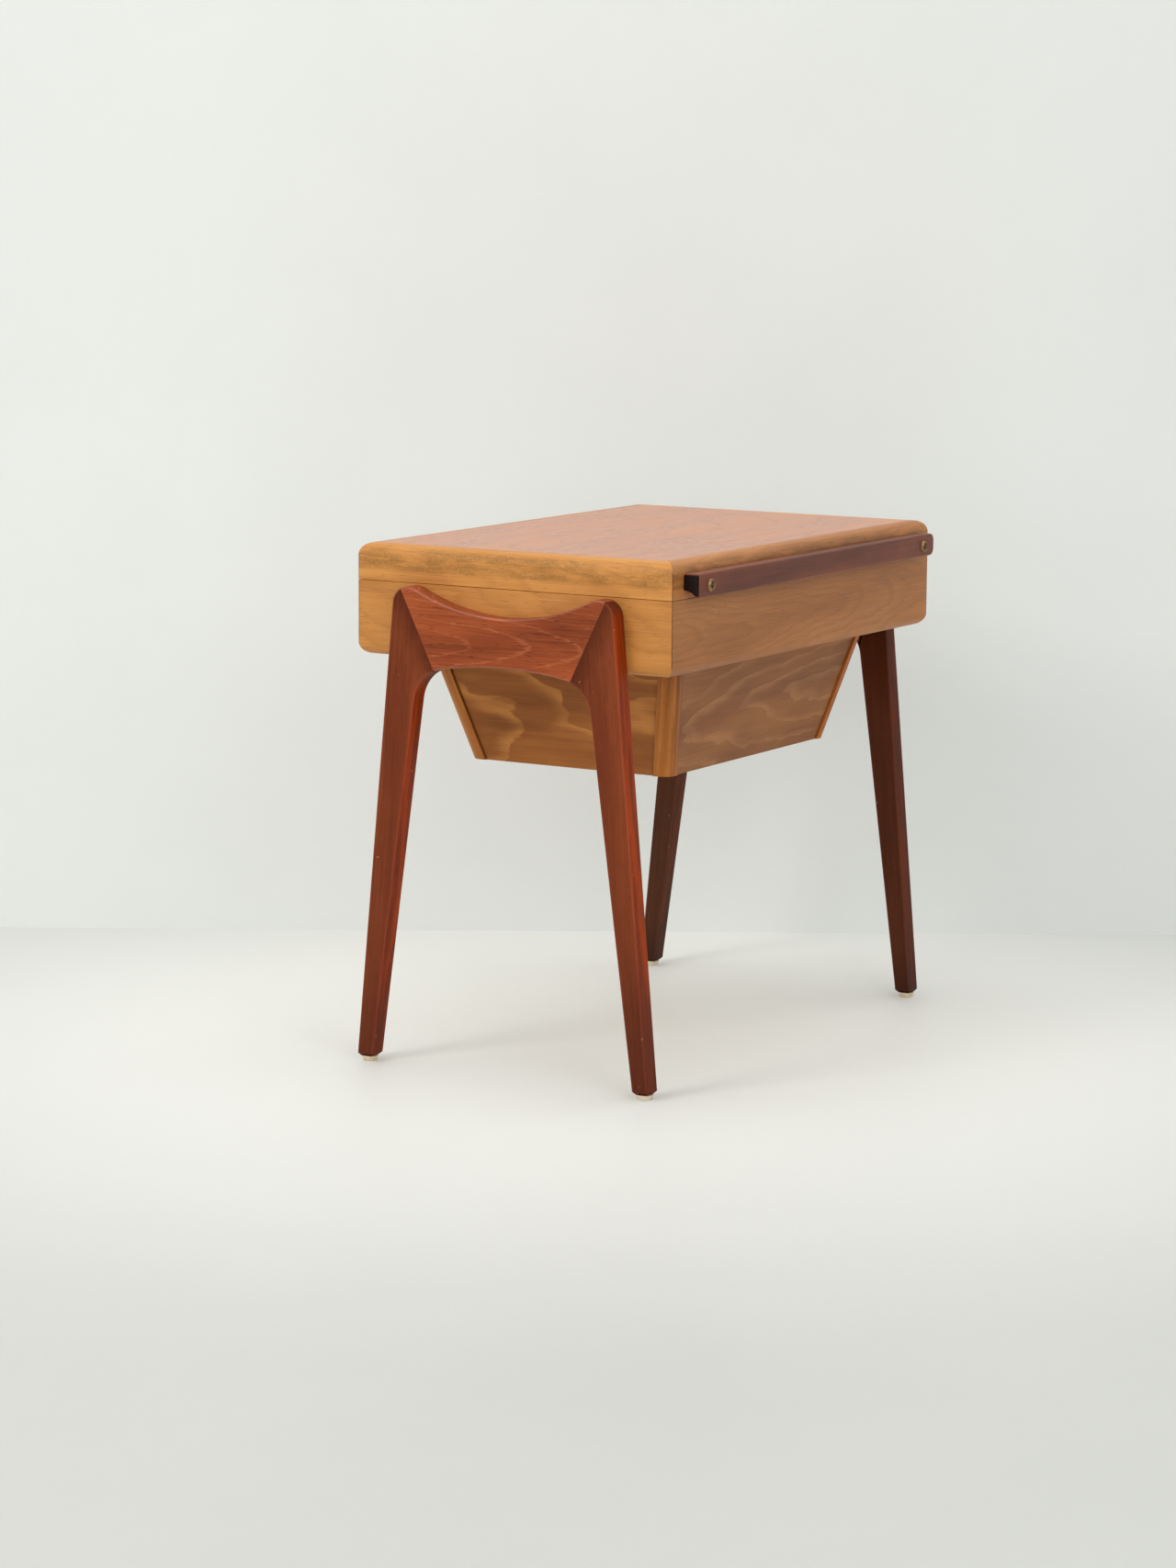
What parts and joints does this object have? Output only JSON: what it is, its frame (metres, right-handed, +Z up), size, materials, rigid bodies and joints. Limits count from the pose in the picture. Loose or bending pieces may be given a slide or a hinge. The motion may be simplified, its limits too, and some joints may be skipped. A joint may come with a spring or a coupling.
{
  "type": "sewing table",
  "caption": "Small wooden sewing table: hinged lid with a pull bar over a mitred case, sliding compartment tray, tapered well below, and A-shaped end frames as legs.",
  "frame": {"origin": "on the floor, under the middle of the closed table's bounding box", "axes": "+X along the table's length, -Y to the front with the pull bar, +Z up"},
  "size_m": [0.588, 0.3828, 0.52],
  "materials": {
    "case_wood": "golden-brown stained hardwood, satin lacquer",
    "top_veneer": "pinkish-brown teak veneer, worn satin lacquer",
    "well_veneer": "golden-brown veneer with bold cathedral grain, satin lacquer",
    "post_wood": "golden-brown hardwood, satin lacquer",
    "leg_wood": "beech stained dark red mahogany, satin lacquer",
    "crossrail_wood": "beech stained red mahogany, satin lacquer",
    "bar_wood": "dark reddish-brown hardwood, satin lacquer",
    "inner_wood": "pale beech, thin clear lacquer",
    "plywood": "birch plywood, thin clear lacquer",
    "brass": "aged brass",
    "hinge_brass": "brushed brass",
    "screw_brass": "brass",
    "steel": "bright steel",
    "glide_plastic": "cream nylon"
  },
  "bodies": {
    "case": {"case_front_board": "case_wood", "case_back_board": "case_wood", "case_left_board": "case_wood", "case_right_board": "case_wood", "case_bottom_board": "plywood", "well_panel_front": "well_veneer", "well_panel_back": "well_veneer", "well_panel_left": "well_veneer", "well_panel_right": "well_veneer", "well_post_front_left": "post_wood", "well_post_front_right": "post_wood", "well_post_back_left": "post_wood", "well_post_back_right": "post_wood", "well_floor": "plywood", "well_screws": "screw_brass", "leg_front_left": "leg_wood", "leg_front_right": "leg_wood", "leg_back_left": "leg_wood", "leg_back_right": "leg_wood", "crossrail_left": "crossrail_wood", "crossrail_right": "crossrail_wood", "mitre_dowels_left": "inner_wood", "mitre_dowels_right": "inner_wood", "frame_screws_left": "screw_brass", "frame_screws_right": "screw_brass", "glide_front_left": "glide_plastic", "glide_front_right": "glide_plastic", "glide_back_left": "glide_plastic", "glide_back_right": "glide_plastic", "glide_nails": "steel", "tray_runner_front": "inner_wood", "tray_runner_back": "inner_wood", "runner_screws": "screw_brass", "hinge_case_leaf_left": "hinge_brass", "hinge_case_leaf_right": "hinge_brass", "hinge_case_screws": "hinge_brass", "hinge_pins": "hinge_brass"},
    "lid": {"lid_top_panel": "top_veneer", "lid_front_rail": "case_wood", "lid_back_rail": "case_wood", "lid_left_rail": "case_wood", "lid_right_rail": "case_wood", "pull_bar": "bar_wood", "pull_bar_cup_washers": "brass", "pull_bar_screws": "brass", "hinge_lid_leaf_left": "hinge_brass", "hinge_lid_leaf_right": "hinge_brass", "hinge_lid_screws": "hinge_brass"},
    "tray": {"tray_front_wall": "inner_wood", "tray_back_wall": "inner_wood", "tray_left_wall": "inner_wood", "tray_right_wall": "inner_wood", "tray_bottom": "plywood", "tray_long_divider": "inner_wood", "tray_cross_dividers": "inner_wood", "spool_rack": "inner_wood", "spool_pegs": "inner_wood"}
  },
  "joints": [
    {"name": "lid_hinge", "type": "hinge", "parent": "case", "child": "lid", "pos_m": [0, 0.1888, 0.48345], "axis": [-1, 0, 0], "range_deg": [0, 100]},
    {"name": "tray_slide", "type": "slide", "parent": "case", "child": "tray", "axis": [1, 0, 0], "range_m": [0, 0.262]}
  ]
}
